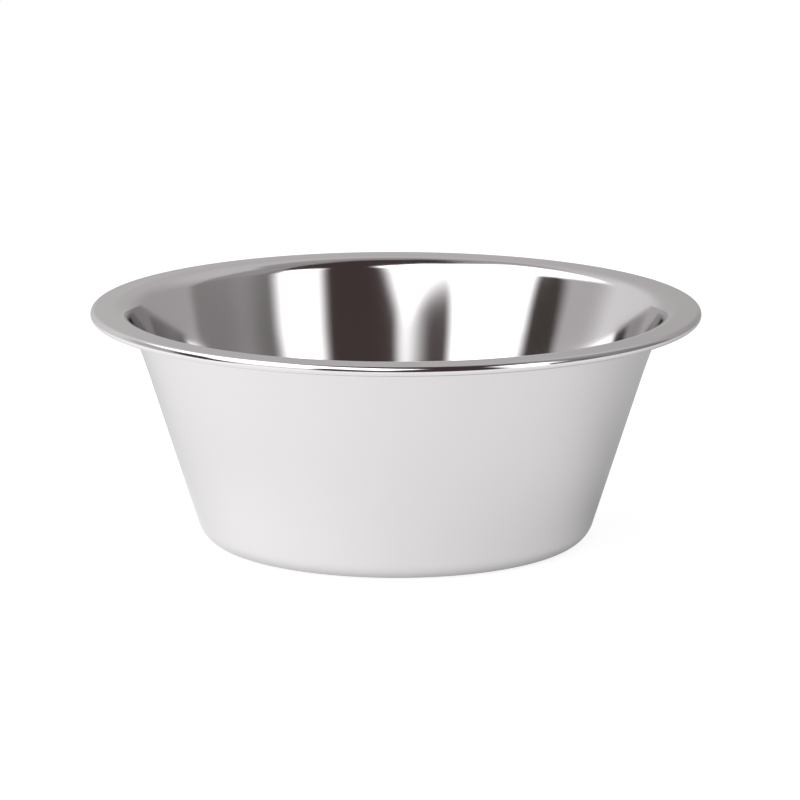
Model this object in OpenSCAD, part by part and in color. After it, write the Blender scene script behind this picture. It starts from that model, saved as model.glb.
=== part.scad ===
// Steel feeding bowl, pressed from one round blank of stainless sheet.
// The section follows the middle of the sheet from the axis outwards: a raised
// panel, a flat foot ring, the heel, the leaning wall that flares a little near its
// top, the mouth bend, the brim and the edge rolled under it. The sheet keeps one
// thickness throughout.
// The origin is on the table at the middle of the foot ring, with +Z up.

/* [Bowl] */
// Outside diameter over the rolled edge
rim_d = 220; // [170:1:320]
// Height from the table to the crest of the brim
bowl_h = 85.5; // [60:0.1:115]
// Thickness of the sheet
sheet_t = 0.6; // [0.4:0.05:0.9]

/* [Wall] */
// Angle by which the wall leans outwards from upright
wall_lean = 17.7; // [8:0.1:26]
// Further angle by which the wall flares out below the mouth bend
flare_turn = 4.3; // [1:0.1:6]
// Radius of that flare, at the middle of the sheet
flare_r = 300; // [150:5:400]
// Outside radius of the heel, where the wall turns into the base
heel_r = 9.9; // [5:0.1:16]

/* [Brim] */
// Width of the brim, from the outside of the rolled edge to where it would meet the straight wall
brim_w = 13.7; // [10:0.1:24]
// Angle by which the brim falls towards its edge
brim_fall = 2; // [0:0.5:14]
// Radius of the mouth bend on the food side
mouth_r = 6.8; // [4:0.1:12]
// Outside diameter of the rolled edge
roll_d = 3.6; // [2.8:0.1:5]
// Angle through which the edge is rolled under
roll_turn = 290; // [220:5:295]

/* [Base] */
// Width of the flat foot ring
foot_w = 7.5; // [4:0.5:14]
// Height of the raised panel inside the foot ring
panel_rise = 1.2; // [0.6:0.1:2.4]
// Slope of the step up to the panel
panel_slope = 18; // [12:1:30]
// Radius of the two bends in that step, at the middle of the sheet
panel_bend_r = 3; // [1.5:0.1:5]

/* [Smoothness] */
// Largest gap between a bend of the section and the flats that stand for it
bend_gap = 0.01; // [0.005:0.001:0.03]
// Number of sides of a full turn when previewed
turn_sides = 180; // [60:12:360]

/* [Hidden] */

// Half the sheet, from its middle to either face
half_t = sheet_t / 2;

// Radii of the bends at the middle of the sheet
heel_mid_r = heel_r - half_t;
mouth_mid_r = mouth_r - half_t;
roll_mid_r = roll_d / 2 - half_t;

// Headings of the straight stretches, from level and outwards
level = 0;
wall_heading = 90 - wall_lean;
flared_heading = wall_heading - flare_turn;
brim_heading = -brim_fall;
step_heading = -panel_slope;

// Where the straight stretches would meet, at the middle of the sheet
function tangent_length(radius, turn) = radius * tan(abs(turn) / 2);

// The same for a corner that is rounded by two arcs, on the side of the first of them
function joined_length(first_r, first_turn, second_r, second_turn) =
    let(turn = first_turn + second_turn)
    (second_r - first_r * cos(turn) + (first_r - second_r) * cos(second_turn)) / sin(turn);

mouth_turn = flared_heading - brim_heading;
flare_length = joined_length(flare_r, flare_turn, mouth_mid_r, mouth_turn);
mouth_length = joined_length(mouth_mid_r, mouth_turn, flare_r, flare_turn);
mouth_corner = [
    rim_d / 2 - brim_w,
    bowl_h - mouth_r + mouth_mid_r * cos(brim_fall) + mouth_length * sin(brim_fall)
];

heel_corner = [
    mouth_corner.x - (mouth_corner.y - half_t) * tan(wall_lean),
    half_t
];
foot_outer_r = heel_corner.x - tangent_length(heel_mid_r, wall_heading);

step_tangent = tangent_length(panel_bend_r, panel_slope);
step_foot_corner = [foot_outer_r - foot_w - step_tangent, half_t];
step_panel_corner = step_foot_corner + [-panel_rise / tan(panel_slope), panel_rise];

// The roll starts where the brim's line touches its circle
roll_start = let(r = rim_d / 2 - roll_d / 2 + roll_mid_r * sin(brim_fall))
    [r, mouth_corner.y - (r - mouth_corner.x) * tan(brim_fall)];

// Unit vector to the left of a heading, which is the food side of the sheet
function left_of(heading) = [-sin(heading), cos(heading)];
function ahead(heading) = [cos(heading), sin(heading)];

// Points along an arc, each with the heading there: [[r, z], heading]
function arc(start, from, turn, radius) =
    let(
        side = sign(turn),
        centre = start + side * radius * left_of(from),
        step = 2 * acos(1 - bend_gap / (radius + half_t)),
        steps = ceil(abs(turn) / step)
    )
    [for (i = [0 : steps])
        let(heading = from + turn * i / steps)
        [centre - side * radius * left_of(heading), heading]];

// The arc that rounds a corner between two headings
function bend(corner, from, to, radius) =
    arc(corner - tangent_length(radius, to - from) * ahead(from), from, to - from, radius);

// The flare and the mouth bend, which share one point
flare = arc(mouth_corner - flare_length * ahead(wall_heading), wall_heading, -flare_turn, flare_r);
flare_end = flare[len(flare) - 1];
mouth = arc(flare_end[0], flared_heading, -mouth_turn, mouth_mid_r);

// The middle of the sheet, from the axis to the end of the roll
sheet_line = concat(
    [[[0, step_panel_corner.y], level]],
    bend(step_panel_corner, level, step_heading, panel_bend_r),
    bend(step_foot_corner, step_heading, level, panel_bend_r),
    bend(heel_corner, level, wall_heading, heel_mid_r),
    flare,
    [for (i = [1 : len(mouth) - 1]) mouth[i]],
    arc(roll_start, brim_heading, -roll_turn, roll_mid_r)
);

// One face of the sheet, a distance to the left of its middle
function face(offset) = [for (p = sheet_line) p[0] + offset * left_of(p[1])];

function reversed(points) = [for (i = [len(points) - 1 : -1 : 0]) points[i]];

module bowl() {
    color("silver")
        rotate_extrude($fn = turn_sides)
            polygon(concat(face(-half_t), reversed(face(half_t))));
}

bowl();
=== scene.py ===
# %% [markdown]
# # A stainless steel dog bowl
# The real bowl is one round disc of stainless sheet, pressed into a dish and rolled under at its
# edge. Its inside is polished to a mirror, its outside is only buffed. Everything here is in metres
# and in the frame of the solid model, so the bowl stands on the origin with +Z up, and the
# photographer stands towards -Y.

# %% Load the solid model
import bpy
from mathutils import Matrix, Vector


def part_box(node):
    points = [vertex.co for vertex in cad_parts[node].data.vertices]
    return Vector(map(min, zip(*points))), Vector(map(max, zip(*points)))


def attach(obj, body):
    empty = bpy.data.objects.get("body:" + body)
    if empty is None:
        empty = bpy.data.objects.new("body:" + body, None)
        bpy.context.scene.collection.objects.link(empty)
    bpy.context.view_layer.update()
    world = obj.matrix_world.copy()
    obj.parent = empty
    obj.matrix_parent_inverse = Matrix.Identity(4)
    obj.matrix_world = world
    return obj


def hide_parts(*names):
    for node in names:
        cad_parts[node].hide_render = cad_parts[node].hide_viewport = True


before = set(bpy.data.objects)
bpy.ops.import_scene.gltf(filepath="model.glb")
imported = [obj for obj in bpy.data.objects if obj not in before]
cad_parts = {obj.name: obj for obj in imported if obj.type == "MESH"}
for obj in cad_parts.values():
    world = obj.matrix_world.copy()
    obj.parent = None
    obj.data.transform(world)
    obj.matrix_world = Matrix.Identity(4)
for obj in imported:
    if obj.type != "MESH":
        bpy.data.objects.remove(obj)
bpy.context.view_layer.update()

# %% [markdown]
# ## Colours
# Colours are written as a designer reads them, in sRGB hex. Blender computes in linear light, so
# one function turns a hex value into the linear numbers that a shader's socket takes.

# %% Hex to linear
def linear(hex_colour, strength=1.0):
    """Linear RGBA of an sRGB hex colour, such as "#DBD8D8"."""
    shares = [int(hex_colour[i:i + 2], 16) / 255 for i in (1, 3, 5)]
    rgb = [s / 12.92 if s <= 0.04045 else ((s + 0.055) / 1.055) ** 2.4 for s in shares]
    return [c * strength for c in rgb] + [1.0]


print("mid grey #808080 is", round(linear("#808080")[0], 3), "in linear light")

# %% [markdown]
# ## One helper for every node
# A node needs its type, its settings and something in its sockets. A socket takes either a plain
# value or the output of another node, so one function can add any of them.

# %% Add a node
import bpy


def add(tree, kind, sockets=None, **settings):
    """Adds a node and returns it. Sockets are given by name or number."""
    made = tree.nodes.new("ShaderNode" + kind)
    for setting, value in settings.items():
        setattr(made, setting, value)
    for socket, value in (sockets or {}).items():
        if isinstance(value, bpy.types.NodeSocket):
            tree.links.new(value, made.inputs[socket])
        else:
            made.inputs[socket].default_value = value
    return made


def empty_material(name):
    """A new material with no nodes, and its tree."""
    made = bpy.data.materials.new(name)
    made.use_nodes = True
    made.node_tree.nodes.clear()
    return made, made.node_tree


print("Blender", bpy.app.version_string)

# %% [markdown]
# ## The camera
# The photograph was taken with a long lens from about two metres, looking down a little less than
# twelve degrees. Both were worked out from the two ellipses of the rim and the foot: a nearer
# camera would make the near side of the rim wider than the far side. A camera can be aimed by a
# constraint or by angles. This one is aimed by its own right, up and forward directions, because
# they also keep the tiny roll of the real tripod.

# %% Camera
import math

from mathutils import Matrix, Vector

CAMERA_PLACE = Vector((0, -1.956919, 0.463839))
CAMERA_LENS = 248.94
CAMERA_SENSOR = 36.0
CAMERA_REACH = 20.0
PITCH_DOWN = 11.921
YAW_RIGHT = 0.0443
ROLL = 0.0801

pitch, yaw, roll = (math.radians(v) for v in (PITCH_DOWN, YAW_RIGHT, ROLL))
forward = Vector((math.sin(yaw) * math.cos(pitch),
                  math.cos(yaw) * math.cos(pitch),
                  -math.sin(pitch)))
level_right = Vector((math.cos(yaw), -math.sin(yaw), 0))
level_up = level_right.cross(forward)
right = level_right * math.cos(roll) + level_up * math.sin(roll)
up = level_up * math.cos(roll) - level_right * math.sin(roll)

camera_data = bpy.data.cameras.new("long_lens")
camera_data.lens = CAMERA_LENS
camera_data.sensor_width = CAMERA_SENSOR
camera_data.clip_end = CAMERA_REACH
camera = bpy.data.objects.new("camera", camera_data)
bpy.context.scene.collection.objects.link(camera)
axes = Matrix((right, up, -forward)).transposed().to_4x4()
camera.matrix_world = Matrix.Translation(CAMERA_PLACE) @ axes
bpy.context.scene.camera = camera
bpy.context.scene.view_settings.view_transform = "Standard"
print("camera", round(CAMERA_PLACE.length, 3), "m away, lens", CAMERA_LENS, "mm")

# %% [markdown]
# ## The studio
# A polished bowl has almost no colour of its own. What you see is the room: soft boxes, the gaps
# between them and black cards that photographers call flags. Lamps alone can't give that, because a
# mirror shows the shape of its light, and a photographed panorama can't be read or changed. So the
# room is a tent, half a ball of cloth around the bowl that glows where a soft box stands.
#
# Each panel below has two side edges, a bottom and a top, in degrees: turn is measured from the
# camera, minus to its left, and height is measured up from the table. Later panels are drawn over
# earlier ones, as a card hides what is behind it.

# %% The panels of the tent
# Grey of the cloth, and the strength by which it glows. 1.0 is white paper in full light.
ROOM = ("#D2CFCF", 1.0)

# name, colour, strength, left edge, right edge, bottom, top.
# A side edge is (turn, softness, lean in degrees of turn for each degree of height, bow).
# A bottom or top is (height, softness), a top may add (bow, turn of its crest).
PANELS = [
    ("upper room", "#A9A7A7", 1.0, None, None, (62, 6), None),
    ("back left ceiling", "#B0ADAD", 1.0, (-168, 12), (-141, 10), (53, 10), None),
    ("ceiling", "#484040", 1.0, None, None, (77.5, 8), None),
    ("back ceiling", "#484040", 1.0, (-172, 16), (-144, 8), (72, 8), None),
    ("left cloth", "#F0EEEE", 1.0, (-162, 30), (-113.5, 24, -0.5), None, (49, 26)),
    ("left corner", "#C4C1C1", 1.0, (-113.5, 24, -0.5), (-60, 4), (12, 9), (50, 4)),
    ("right ceiling", "#493D3D", 1.0, (-40, 6), (103, 16), (50, 6), None),
    ("right corner", "#7D7A7A", 1.0, (57, 4, 0.3), (84, 26), None, (77, 7, -0.015, 108)),
    ("right cloth", "#8F8C8C", 1.0, (79.5, 24), (113.5, 10, -0.3), None, (77, 7, -0.015, 108)),
    ("right cloth in light", "#A8A5A5", 1.0, (71, 16), (113.5, 10, -0.3), (34, 30),
     (77, 7, -0.015, 108)),
    ("right low", "#B6B3B3", 1.0, (112.5, 10, -0.3), (161, 40), None, (36, 34)),
    ("right upper cloth", "#D5D3D3", 1.0, (118, 12), (168, 22), (44, 20), (62, 4)),
    ("key wing", "#FFFFFF", 2.6, (-127.5, 18, -0.3), (-68, 2), (41, 12), (74.5, 8, -0.0022, -80)),
    ("key", "#FFFFFF", 2.6, (-85, 2), (-17, 14, 2.7, -0.056), (23, 1.5), (74.5, 8)),
    ("low gap", "#3B3434", 1.0, (-87, 6, -0.6), (34, 4), None, (23, 2.5)),
    ("low front gap", "#514747", 1.0, (-29.6, 9), (36.5, 6), None, (38.6, 9, -0.022, -25)),
    ("low glow", "#F4F2F2", 1.0, (-59, 14), (-28.5, 7), None, (24, 1.5)),
    ("low glow core", "#FFFFFF", 1.25, (-53, 10), (-31, 8), (15, 8), (24, 1.5)),
    ("left flag", "#47403E", 1.0, (-89.2, 9.5, -0.3, 0.027), (-68.7, 10, -0.15, -0.03), None,
     (40, 15)),
    ("front flag", "#493D3D", 1.0, (-9.8, 13, 0.75), (36, 6, 0, 0.003), None, (72, 6)),
    ("front streak", "#FFFFFF", 1.5, (-10.2, 19), (-1.5, 9.5), (25.5, 1.5), (32.5, 1.5)),
    ("second box", "#FFFFFF", 2.6, (40.6, 10, 0, 0.002), (61.3, 13.6), None, (50.5, 8)),
    ("right corner low", "#7D7A7A", 1.0, (54.5, 2), (66, 4), None, (23.3, 2)),
]
# Height at which the turns of the side edges are given
EDGE_HEIGHT = 24
print(len(PANELS), "panels, from", PANELS[0][0], "to", PANELS[-1][0])

# %% [markdown]
# A panel is a mask with soft edges, and each edge is one smooth step along turn or height. A square
# card in a round tent has edges that lean or bow, so the value that the step looks at is first
# straightened by a lean and a bow.

# %% Draw one panel
def edge(tree, value, at, softness, rising):
    """1 on one side of an edge and 0 on the other, with a soft step between."""
    half = softness / 2 if rising else -softness / 2
    return add(tree, "MapRange", {"Value": value, "From Min": at - half, "From Max": at + half},
               interpolation_type="SMOOTHSTEP").outputs["Result"]


def curved(tree, value, along, centre, lean, bow):
    """value - lean * t - bow * t * t, where t is along - centre: straightens a curved edge."""
    if not lean and not bow:
        return value
    t = add(tree, "Math", {0: along, 1: centre}, operation="SUBTRACT").outputs[0]
    slope = add(tree, "Math", {0: t, 1: bow, 2: lean}, operation="MULTIPLY_ADD").outputs[0]
    shift = add(tree, "Math", {0: t, 1: slope}, operation="MULTIPLY").outputs[0]
    return add(tree, "Math", {0: value, 1: shift}, operation="SUBTRACT").outputs[0]


def draw_panel(tree, below, turn, height, panel):
    """Lays one panel over the colour below it."""
    name, colour, strength, left_edge, right_edge, bottom, top = panel
    masks = []
    for side, rising in ((left_edge, True), (right_edge, False)):
        if side:
            at, softness, lean, bow = (tuple(side) + (0, 0))[:4]
            straight = curved(tree, turn, height, EDGE_HEIGHT, lean, bow)
            masks.append(edge(tree, straight, at, softness, rising))
    if bottom:
        masks.append(edge(tree, height, bottom[0], bottom[1], True))
    if top:
        at, softness, bow, crest = (tuple(top) + (0, 0))[:4]
        straight = curved(tree, height, turn, crest, 0, bow)
        masks.append(edge(tree, straight, at, softness, False))
    mask = masks[0]
    for other in masks[1:]:
        mask = add(tree, "Math", {0: mask, 1: other}, operation="MULTIPLY").outputs[0]
    laid = add(tree, "Mix", {"Factor": mask, "A": below, "B": linear(colour, strength)},
               data_type="RGBA")
    laid.label = name
    return laid.outputs["Result"]


# %% The tent's cloth
tent_cloth, tree = empty_material("tent_cloth_and_soft_boxes")
place = add(tree, "TexCoord").outputs["Object"]
outwards = add(tree, "VectorMath", {0: place}, operation="NORMALIZE").outputs["Vector"]
parts = add(tree, "SeparateXYZ", {0: outwards}).outputs
front = add(tree, "Math", {0: parts["Y"], 1: -1}, operation="MULTIPLY").outputs[0]
turn_radians = add(tree, "Math", {0: parts["X"], 1: front}, operation="ARCTAN2").outputs[0]
height_radians = add(tree, "Math", {0: parts["Z"]}, operation="ARCSINE").outputs[0]
turn = add(tree, "Math", {0: turn_radians}, operation="DEGREES").outputs[0]
height = add(tree, "Math", {0: height_radians}, operation="DEGREES").outputs[0]

glow = linear(*ROOM)
for panel in PANELS:
    glow = draw_panel(tree, glow, turn, height, panel)
light = add(tree, "Emission", {"Color": glow}).outputs[0]
add(tree, "OutputMaterial", {"Surface": light})
print("tent cloth of", len(tree.nodes), "nodes")

# %% [markdown]
# The tent is a real surface at a real distance, because the mirror shows it from many points of
# the bowl and a lamp at infinity would look the same from all of them. The camera looks in from
# outside, so the tent is hidden from camera rays only.

# %% The tent's shape
TENT_RADIUS = 0.85
TENT_RINGS = 32
TENT_SIDES = 128


def ring_mesh(name, rows, sides):
    """A mesh turned round Z from rows of (radius, z), each row a ring, the last one filled."""
    points, faces = [], []
    for radius, z in rows:
        for k in range(sides):
            a = 2 * math.pi * k / sides
            points.append((radius * math.cos(a), radius * math.sin(a), z))
    for i in range(len(rows) - 1):
        near, far = i * sides, (i + 1) * sides
        for k in range(sides):
            n = (k + 1) % sides
            faces.append((near + k, near + n, far + n, far + k))
    faces.append(tuple(range((len(rows) - 1) * sides, len(rows) * sides)))
    mesh = bpy.data.meshes.new(name)
    mesh.from_pydata(points, [], faces)
    mesh.shade_smooth()
    return mesh


tent_rows = []
for i in range(TENT_RINGS):
    lift = math.radians(90) * i / TENT_RINGS
    tent_rows.append((TENT_RADIUS * math.cos(lift), TENT_RADIUS * math.sin(lift)))
tent = bpy.data.objects.new("tent", ring_mesh("tent", tent_rows, TENT_SIDES))
tent.data.materials.append(tent_cloth)
tent.visible_camera = False
bpy.context.scene.collection.objects.link(tent)
print("tent of", len(tent.data.polygons), "faces,", TENT_RADIUS, "m in radius")

# %% [markdown]
# ## The table
# The photograph stands on pure white. The table is pale laminate, a diffuse white, and it lights
# the bowl from below. A white plane alone would turn grey away from the lights, and a brighter
# light would bleach the steel. So the camera gets part of the white as a plain glow: the open table
# is as white as the background, and the bowl's shadow stays, but faint.

# %% How the table looks to light and to the camera
TABLE_ALBEDO = "#F4F4F4"
# To the camera: the grey that takes light and shadow, and the glow over it
TABLE_SEEN = "#B4B4B4"
TABLE_SEEN_GLOW = 0.80

table_white, tree = empty_material("white_laminate")
lit = add(tree, "BsdfDiffuse", {"Color": linear(TABLE_ALBEDO)}).outputs[0]
seen_lit = add(tree, "BsdfDiffuse", {"Color": linear(TABLE_SEEN)}).outputs[0]
seen_glow = add(tree, "Emission", {"Color": linear("#FFFFFF"), "Strength": TABLE_SEEN_GLOW})
seen = add(tree, "AddShader", {0: seen_lit, 1: seen_glow.outputs[0]}).outputs[0]
print("table", TABLE_ALBEDO, "and for the camera", TABLE_SEEN, "with a glow of", TABLE_SEEN_GLOW)

# %% [markdown]
# The steel mirrors the table, and the outside of the bowl shows little else. A real table isn't
# even: it is brighter on the side of the large soft box and darker behind the bowl and round its
# foot. That light and shade is painted into a glow that only the steel sees: painted light towards
# the key, painted shade away from the boxes, and the bowl's painted shadow behind it and round its
# foot. These are soft terms over the distance and the direction from the middle of the bowl.

# %% How the table looks to polished steel
MM = 0.001

# Glow of the open table, before the terms below, and the grey that takes light and shadow
MIRRORED_GLOW = 0.805
MIRRORED = "#909090"
# name, glow added towards a turn, that turn, sharpness. A sharp term counts on its own side only.
# A positive glow added is painted light, a negative one painted shade.
TABLE_SIDES = [
    ("towards the key", 0.076, -104, 1),
    ("away from both boxes", -0.28, 120, 4),
    ("behind the bowl", -0.69, 180, 4),
]
# Around the foot: painted shade added all round, painted light towards the key and painted shade on
# the side away from it, and how far it reaches in millimetres
FOOT_ALL_ROUND = -0.054
FOOT_KEY_SIDE = 0.178
FOOT_KEY_TURN = -60
FOOT_REACH = (60, 130)
# Painted contact shadow round the foot, and painted light on the open table far from the bowl
CONTACT_SHADE = -0.32
CONTACT_REACH = (60, 76)
FAR_GLOW = 0.14
FAR_REACH = (100, 340)

spot = add(tree, "TexCoord").outputs["Object"]
outwards = add(tree, "VectorMath", {0: spot}, operation="NORMALIZE").outputs["Vector"]
away = add(tree, "VectorMath", {0: spot}, operation="LENGTH").outputs["Value"]


def towards(turn):
    """1 on the table in the direction of this turn, 0 square to it and -1 opposite."""
    a = math.radians(turn)
    return add(tree, "VectorMath", {0: outwards, 1: (math.sin(a), -math.cos(a), 0)},
               operation="DOT_PRODUCT").outputs["Value"]


def within(reach, near, far):
    """near up to the first distance, far from the second on, and a soft step between."""
    return add(tree, "MapRange", {"Value": away, "From Min": reach[0] * MM,
                                  "From Max": reach[1] * MM, "To Min": near, "To Max": far},
               interpolation_type="SMOOTHSTEP").outputs["Result"]


# The table's light and the bowl's shadow on it reach the steel only as this painted glow
mirrored_light_and_shade = within(CONTACT_REACH, MIRRORED_GLOW + CONTACT_SHADE, MIRRORED_GLOW)
for name, amount, at, sharpness in TABLE_SIDES:
    side = towards(at)
    if sharpness > 1:
        side = add(tree, "Math", {0: side, 1: 0.0}, operation="MAXIMUM").outputs[0]
        side = add(tree, "Math", {0: side, 1: sharpness}, operation="POWER").outputs[0]
    raised = add(tree, "Math", {0: side, 1: amount, 2: mirrored_light_and_shade}, operation="MULTIPLY_ADD")
    raised.label = name
    mirrored_light_and_shade = raised.outputs[0]
at_foot = add(tree, "Math", {0: towards(FOOT_KEY_TURN), 1: within(FOOT_REACH, FOOT_KEY_SIDE, 0),
                             2: within(FOOT_REACH, FOOT_ALL_ROUND, 0)}, operation="MULTIPLY_ADD")
far_off = within(FAR_REACH, 0, FAR_GLOW)
for term in (at_foot.outputs[0], far_off):
    mirrored_light_and_shade = add(tree, "Math", {0: mirrored_light_and_shade, 1: term}, operation="ADD").outputs[0]

mirrored_lit = add(tree, "BsdfDiffuse", {"Color": linear(MIRRORED)}).outputs[0]
mirrored_painted_light = add(tree, "Emission", {"Color": linear("#FFFFFF"), "Strength": mirrored_light_and_shade}).outputs[0]
mirrored = add(tree, "AddShader", {0: mirrored_lit, 1: mirrored_painted_light}).outputs[0]
print("table glow", MIRRORED_GLOW, "with", len(TABLE_SIDES), "sides, a foot and a far term")

# %% Lay the table under a white backdrop
TABLE_RADIUS = 1.1
TABLE_DROP = 0.05 * MM

ray = add(tree, "LightPath").outputs
look = add(tree, "MixShader", {0: ray["Is Glossy Ray"], 1: lit, 2: mirrored}).outputs[0]
look = add(tree, "MixShader", {0: ray["Is Camera Ray"], 1: look, 2: seen}).outputs[0]
add(tree, "OutputMaterial", {"Surface": look})

# An outer ring and a filled one halfway to the tent
table_rows = [(TABLE_RADIUS, -TABLE_DROP), (TENT_RADIUS / 2, -TABLE_DROP)]
table = bpy.data.objects.new("table", ring_mesh("table", table_rows, TENT_SIDES))
table.data.materials.append(table_white)
bpy.context.scene.collection.objects.link(table)

backdrop = bpy.data.worlds.new("white_backdrop")
backdrop.use_nodes = True
backdrop.node_tree.nodes.clear()
paper = add(backdrop.node_tree, "Background", {"Color": linear("#FFFFFF"), "Strength": 1.0})
add(backdrop.node_tree, "OutputWorld", {"Surface": paper.outputs[0]})
bpy.context.scene.world = backdrop
print("table of", TABLE_RADIUS, "m radius under a white backdrop")

# %% [markdown]
# ## The sheet's section
# Cut the bowl through its axis and you see one thin line: a raised panel, a flat foot ring, the
# heel, the leaning wall, the mouth bend, the brim and the roll. It could be traced as a curve by
# hand, but a change of one size would mean tracing it again. Sheet bends in arcs, so the line is
# drawn like a turtle's path: straight runs and arcs, each known by its heading. Two copies of it,
# half a sheet to either side, are the faces of the steel.
#
# Near its top the wall flares by some four degrees. The outline hardly shows that, but the mirror
# does: where the wall starts to reflect its own far side moves by ten pixels in the photograph.

# %% Sizes of the section, in millimetres and degrees
SHEET_T = 0.6
WALL_LEAN = 17.7
FLARE_TURN = 4.3
FLARE_R = 300.0
HEEL_R = 9.9
BRIM_W = 13.7
BRIM_FALL = 2.0
MOUTH_R = 6.8
ROLL_D = 3.6
ROLL_TURN = 290.0
FOOT_W = 7.5
PANEL_RISE = 1.2
PANEL_SLOPE = 18.0
PANEL_BEND_R = 3.0

bowl_low, bowl_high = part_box("bowl")
rim_r = (bowl_high.x - bowl_low.x) / 2 / MM
bowl_h = (bowl_high.z - bowl_low.z) / MM
half_t = SHEET_T / 2
print("rim", round(2 * rim_r, 2), "mm across,", round(bowl_h, 2), "mm high")

# %% Runs and arcs
# Degrees of turn for each step of a bend
FLARE_STEP = 0.45
BEND_STEP = 2.0
ROLL_STEP = 5.0


def left_of(heading):
    a = math.radians(heading)
    return Vector((-math.sin(a), math.cos(a)))


def ahead(heading):
    a = math.radians(heading)
    return Vector((math.cos(a), math.sin(a)))


def tangent_length(radius, turned):
    """From a corner back to where the arc that rounds it starts."""
    return radius * math.tan(math.radians(abs(turned)) / 2)


def joined_length(first_r, first_turn, second_r, second_turn):
    """The same for a corner that is rounded by two arcs, on the side of the first of them."""
    turned, second = math.radians(first_turn + second_turn), math.radians(second_turn)
    reach = second_r - first_r * math.cos(turned) + (first_r - second_r) * math.cos(second)
    return reach / math.sin(turned)


def arc(start, heading, turned, radius, step):
    """Points along an arc, each with the heading there."""
    side = math.copysign(1, turned)
    centre = start + side * radius * left_of(heading)
    steps = math.ceil(abs(turned) / step)
    out = []
    for i in range(steps + 1):
        h = heading + turned * i / steps
        out.append((centre - side * radius * left_of(h), h))
    return out


def bend(corner, before, after, radius):
    """The arc that rounds a corner between two headings."""
    start = corner - tangent_length(radius, after - before) * ahead(before)
    return arc(start, before, after - before, radius, BEND_STEP)


print("a 90 degree bend of 10 mm starts", round(tangent_length(10, 90), 3), "mm before its corner")

# %% The corners, where the straight runs would meet
wall_heading = 90 - WALL_LEAN
flared_heading = wall_heading - FLARE_TURN
mouth_turn = flared_heading + BRIM_FALL
heel_mid_r = HEEL_R - half_t
mouth_mid_r = MOUTH_R - half_t
roll_mid_r = ROLL_D / 2 - half_t
lean, fall, slope = (math.radians(v) for v in (WALL_LEAN, BRIM_FALL, PANEL_SLOPE))

flare_length = joined_length(FLARE_R, FLARE_TURN, mouth_mid_r, mouth_turn)
mouth_length = joined_length(mouth_mid_r, mouth_turn, FLARE_R, FLARE_TURN)
mouth_z = bowl_h - MOUTH_R + mouth_mid_r * math.cos(fall) + mouth_length * math.sin(fall)
mouth_corner = Vector((rim_r - BRIM_W, mouth_z))
heel_corner = Vector((mouth_corner.x - (mouth_corner.y - half_t) * math.tan(lean), half_t))

foot_outer_r = heel_corner.x - tangent_length(heel_mid_r, wall_heading)
step_tangent = tangent_length(PANEL_BEND_R, PANEL_SLOPE)
step_foot = Vector((foot_outer_r - FOOT_W - step_tangent, half_t))
step_panel = step_foot + Vector((-PANEL_RISE / math.tan(slope), PANEL_RISE))

roll_r = rim_r - ROLL_D / 2 + roll_mid_r * math.sin(fall)
roll_start = Vector((roll_r, mouth_corner.y - (roll_r - mouth_corner.x) * math.tan(fall)))
print("foot ring", round(2 * foot_outer_r, 1), "mm across")

# %% The middle line of the sheet
flare_start = mouth_corner - flare_length * ahead(wall_heading)

line = [(Vector((0, step_panel.y)), 0.0)]
line += bend(step_panel, 0, -PANEL_SLOPE, PANEL_BEND_R)
line += bend(step_foot, -PANEL_SLOPE, 0, PANEL_BEND_R)
line += bend(heel_corner, 0, wall_heading, heel_mid_r)
line += arc(flare_start, wall_heading, -FLARE_TURN, FLARE_R, FLARE_STEP)
line += arc(line[-1][0], flared_heading, -mouth_turn, mouth_mid_r, BEND_STEP)[1:]
line += arc(roll_start, -BRIM_FALL, -ROLL_TURN, roll_mid_r, ROLL_STEP)
print("section of", len(line), "points")

# %% [markdown]
# Long flat runs get extra rings. A mirror is judged by its normals, and a smooth normal is blended
# across a face, so the first ring of a flat run has to lie close to the bend it comes from.

# %% Extra rings on the straight runs
RUN_STEP = 6.0
RUN_LEAD = 0.6
SAME_HEADING = 1e-6


def with_rings(points):
    """The same line with rings added along each straight run."""
    out = [points[0]]
    for (p, h), (q, g) in zip(points, points[1:]):
        length = (q - p).length
        if abs(h - g) < SAME_HEADING and length > 2 * RUN_LEAD:
            inner = length - 2 * RUN_LEAD
            count = max(1, math.ceil(inner / RUN_STEP))
            for i in range(count + 1):
                out.append((p + (RUN_LEAD + inner * i / count) * ahead(h), h))
        out.append((q, g))
    return out


line = with_rings(line)
along = [0.0]
for (p, _), (q, _) in zip(line, line[1:]):
    along.append(along[-1] + (q - p).length)
print("with rings,", len(line), "points over", round(along[-1], 1), "mm of sheet")

# %% [markdown]
# ## Turning the section
# A lathe makes a round thing from a section, and so does this: every point of the section becomes a
# ring. The Screw modifier would turn it too, but here each point also keeps its distance along the
# sheet, which the polishing marks follow, and each face its finish. The food side runs outwards,
# the other side runs back, and the two are joined at the sheet's cut edge inside the roll.

# %% Rings, faces and finishes
TURN_SIDES = 240
POLISHED, BUFFED = 0, 1

food_side = [(p + half_t * left_of(h), s) for (p, h), s in zip(line, along)]
table_side = [(p - half_t * left_of(h), s) for (p, h), s in zip(line, along)]
loop = food_side[1:] + table_side[:0:-1]

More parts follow.
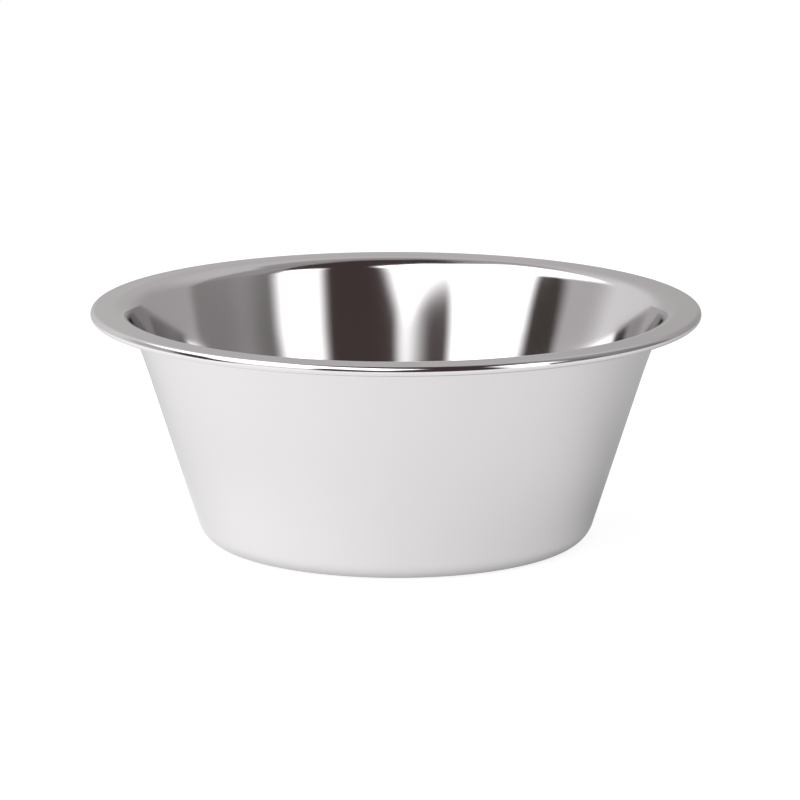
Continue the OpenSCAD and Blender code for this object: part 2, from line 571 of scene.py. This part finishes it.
points, faces, distances, finish = [], [], [], []
for (q, s) in loop:
    for k in range(TURN_SIDES):
        a = 2 * math.pi * k / TURN_SIDES
        points.append((q.x * MM * math.cos(a), q.x * MM * math.sin(a), q.y * MM))
        distances.append(s)
for i in range(len(loop) - 1):
    near, far = i * TURN_SIDES, (i + 1) * TURN_SIDES
    for k in range(TURN_SIDES):
        n = (k + 1) % TURN_SIDES
        faces.append((near + k, far + k, far + n, near + n))
        finish.append(POLISHED if i < len(food_side) - 2 else BUFFED)
for row, (q, _), side in ((0, food_side[0], POLISHED), (len(loop) - 1, table_side[0], BUFFED)):
    centre = len(points)
    points.append((0, 0, q.y * MM))
    distances.append(0.0)
    for k in range(TURN_SIDES):
        n = (k + 1) % TURN_SIDES
        a, b = row * TURN_SIDES + k, row * TURN_SIDES + n
        faces.append((centre, a, b) if side == POLISHED else (centre, b, a))
        finish.append(side)
print(len(loop), "rings of", TURN_SIDES, "points")

# %% The bowl's skin
# Only the sheet's cut edge turns by more than this, and stays sharp
SHARP_ANGLE = 40
ATTRIBUTE = "along_mm"

mesh = bpy.data.meshes.new("pressed_bowl")
mesh.from_pydata(points, [], faces)
mesh.validate()
store = mesh.attributes.new(ATTRIBUTE, "FLOAT", "POINT")
store.data.foreach_set("value", distances)
mesh.shade_smooth()
mesh.set_sharp_from_angle(angle=math.radians(SHARP_ANGLE))
mesh.polygons.foreach_set("material_index", finish)
bowl = bpy.data.objects.new("pressed_bowl", mesh)
bpy.context.scene.collection.objects.link(bowl)
print("bowl of", len(mesh.vertices), "points and", len(mesh.polygons), "faces")

# %% [markdown]
# ## What both finishes share
# Stainless is a metal, so it has no diffuse colour: its base colour is how much it reflects, about
# seven tenths and a trace warmer than grey. It reflects a little less just before grazing, which is
# what the specular tint of a metal says. The bowl spins while the wheel works on it, so the marks
# are rings. A picture of scratches could be wrapped round it, but rings that follow the distance
# along the sheet in millimetres stay even over every bend.

# %% The steel and its marks
STEEL = "#DAD8D9"
STEEL_NEAR_GRAZING = "#E7E7E7"
# A ring drifts off and back over about this length
DRIFT_MM = 40


def steel(name):
    """A bare stainless material: its tree, its shader and the two patterns' coordinates."""
    made, tree = empty_material(name)
    shader = add(tree, "BsdfPrincipled", {
        "Base Color": linear(STEEL), "Metallic": 1.0, "Specular Tint": linear(STEEL_NEAR_GRAZING)})
    add(tree, "OutputMaterial", {"Surface": shader.outputs[0]})
    sheet = add(tree, "Attribute", attribute_name=ATTRIBUTE).outputs["Fac"]
    space = add(tree, "TexCoord").outputs["Object"]
    mesh.materials.append(made)
    return tree, shader, sheet, space


def patches(tree, space, size_mm, detail=2.0):
    """Soft blotches of about this size, from 0 to 1."""
    return add(tree, "TexNoise", {"Vector": space, "Scale": 1 / (size_mm * MM),
                                  "Detail": detail}).outputs["Fac"]


def rings(tree, sheet, space, spacing_mm, wander_mm):
    """Wheel marks about this far apart, which wander a little on their way round."""
    drift = add(tree, "Math", {0: patches(tree, space, DRIFT_MM), 1: wander_mm, 2: sheet},
                operation="MULTIPLY_ADD").outputs[0]
    turns = add(tree, "Math", {0: drift, 1: spacing_mm}, operation="DIVIDE").outputs[0]
    return add(tree, "TexNoise", {"W": turns, "Scale": 1.0, "Detail": 3.0},
               noise_dimensions="1D").outputs["Fac"]


print("steel reflects", round(linear(STEEL)[0], 2), "of the light")

# %% [markdown]
# Three things are made the same way on both sides. Rings widen the gloss across themselves, which
# is the shader's anisotropy, with its tangent running round the axis. The gloss changes a little in
# patches and from ring to ring. And the rings stand proud by less than a thousandth of a
# millimetre, which only bump can show.

# %% Spread, uneven gloss and relief
# Noise seldom leaves this middle part of its range
BUSY = (0.3, 0.7)


def between(tree, factor, low, high):
    """Maps the busy middle of a noise to a range."""
    return add(tree, "MapRange", {"Value": factor, "From Min": BUSY[0], "From Max": BUSY[1],
                                  "To Min": low, "To Max": high}).outputs["Result"]


def spread_across_rings(tree, shader, amount):
    """Makes the gloss wider across the rings than along them."""
    shader.inputs["Anisotropic"].default_value = amount
    shader.inputs["Anisotropic Rotation"].default_value = 0.25
    around = add(tree, "Tangent", direction_type="RADIAL", axis="Z").outputs[0]
    tree.links.new(around, shader.inputs["Tangent"])


def uneven_gloss(tree, space, marks, patch_mm, roughness):
    """Roughness between two values, half from patches and half from the rings."""
    both = add(tree, "Math", {0: patches(tree, space, patch_mm), 1: marks}, operation="ADD")
    mean = add(tree, "Math", {0: both.outputs[0], 1: 0.5}, operation="MULTIPLY").outputs[0]
    return between(tree, mean, *roughness)


def ring_relief(tree, shader, marks, depth):
    """Lets the marks tilt the surface, by their real depth."""
    relief = add(tree, "Bump", {"Height": marks, "Distance": depth, "Strength": 1.0})
    tree.links.new(relief.outputs[0], shader.inputs["Normal"])


print("noise is used from", BUSY[0], "to", BUSY[1])

# %% [markdown]
# ## Mirror polished stainless
# The food side, the brim and the rolled edge are polished with ever finer paste until they mirror
# the room. What is left are rings far finer than a hair and slight differences in gloss. Such rings
# blur a mirror across them about four times as much as along them: upright edges of the room stay
# crisp on the wall and level ones are soft. One low roughness all over would look like chromed
# plastic. The real rings are too fine to show, so they are drawn half a millimetre apart, about a
# pixel in the photograph's frame. The gloss changes in patches as a wiped bowl's does.

# %% Polished steel
RING_MM = 0.5
RING_WANDER_MM = 0.6
RING_DEPTH = 0.0001 * MM
POLISH = (0.080, 0.100)
POLISH_PATCH_MM = 18
POLISH_SPREAD = 0.85

tree, shader, sheet, space = steel("mirror_polished_stainless")
spread_across_rings(tree, shader, POLISH_SPREAD)
marks = rings(tree, sheet, space, RING_MM, RING_WANDER_MM)
roughness = uneven_gloss(tree, space, marks, POLISH_PATCH_MM, POLISH)
tree.links.new(roughness, shader.inputs["Roughness"])
ring_relief(tree, shader, marks, RING_DEPTH)
print("polished: roughness", POLISH, "rings", RING_MM, "mm apart")

# %% [markdown]
# ## Buffed stainless
# Nobody looks into the outside, so it stops at a cloth buff: the same steel with a soft gloss that
# blurs the table into one even grey. The buff leaves rings too, deeper ones, and a highlight
# spreads across them. Real ones lie about a tenth of a millimetre apart, too fine for this frame,
# so they are drawn 0.8 mm apart. The ring that the bowl stands on is dulled by floors: fine
# scratches in every direction, a little darker than the sheet, and also drawn coarser than grit
# leaves them. It could be a third material, but wear fades out, so it is a mask over the distance
# along the sheet.

# %% Buffed steel
BUFF_RING_MM = 0.8
BUFF_RING_WANDER_MM = 1.2
BUFF_RING_DEPTH = 0.0006 * MM
BUFF = (0.15, 0.21)
BUFF_PATCH_MM = 25
BUFF_SPREAD = 0.4

tree, shader, sheet, space = steel("buffed_stainless")
spread_across_rings(tree, shader, BUFF_SPREAD)
marks = rings(tree, sheet, space, BUFF_RING_MM, BUFF_RING_WANDER_MM)
ring_relief(tree, shader, marks, BUFF_RING_DEPTH)
print("buffed: roughness", BUFF, "rings", BUFF_RING_MM, "mm apart")

# %% The worn foot ring
SCUFFED_STEEL = "#B9B6B5"
SCUFF_GRIT_MM = 0.5
SCUFF_ROUGHNESS = 0.42
# The wear fades in from this far outside the foot ring to this far inside it
WEAR_OUTSIDE_MM = 0.5
WEAR_INSIDE_MM = 1.5


def along_at(radius):
    """Distance along the sheet of the first point nearest to this radius."""
    return along[min(range(len(line)), key=lambda i: abs(line[i][0].x - radius))]


foot_start, foot_end = along_at(foot_outer_r - FOOT_W), along_at(foot_outer_r)
inner_rim = add(tree, "MapRange", {"Value": sheet, "From Min": foot_start - WEAR_OUTSIDE_MM,
                                   "From Max": foot_start + WEAR_INSIDE_MM}).outputs[0]
outer_rim = add(tree, "MapRange", {"Value": sheet, "From Min": foot_end + WEAR_OUTSIDE_MM,
                                   "From Max": foot_end - WEAR_INSIDE_MM}).outputs[0]
foot = add(tree, "Math", {0: inner_rim, 1: outer_rim}, operation="MULTIPLY").outputs[0]
grit = between(tree, patches(tree, space, SCUFF_GRIT_MM, detail=4.0), 0.0, 1.0)
scuffed = add(tree, "Math", {0: foot, 1: grit}, operation="MULTIPLY").outputs[0]

buffed_roughness = uneven_gloss(tree, space, marks, BUFF_PATCH_MM, BUFF)
roughness = add(tree, "Mix", {"Factor": scuffed, "A": buffed_roughness, "B": SCUFF_ROUGHNESS},
                data_type="FLOAT").outputs["Result"]
tree.links.new(roughness, shader.inputs["Roughness"])
dulled = add(tree, "Mix", {"Factor": scuffed, "A": linear(STEEL), "B": linear(SCUFFED_STEEL)},
             data_type="RGBA").outputs["Result"]
tree.links.new(dulled, shader.inputs["Base Color"])
print("foot ring from", round(foot_start, 1), "to", round(foot_end, 1), "mm along the sheet")

# %% [markdown]
# The bowl is one piece, and rides on the one body that there is. The solid model stays in the
# simulation, and this skin is shown in its place.

# %% What it stands for
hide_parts("bowl")
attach(bowl, "root")
print(bowl.name, "replaces the node bowl")
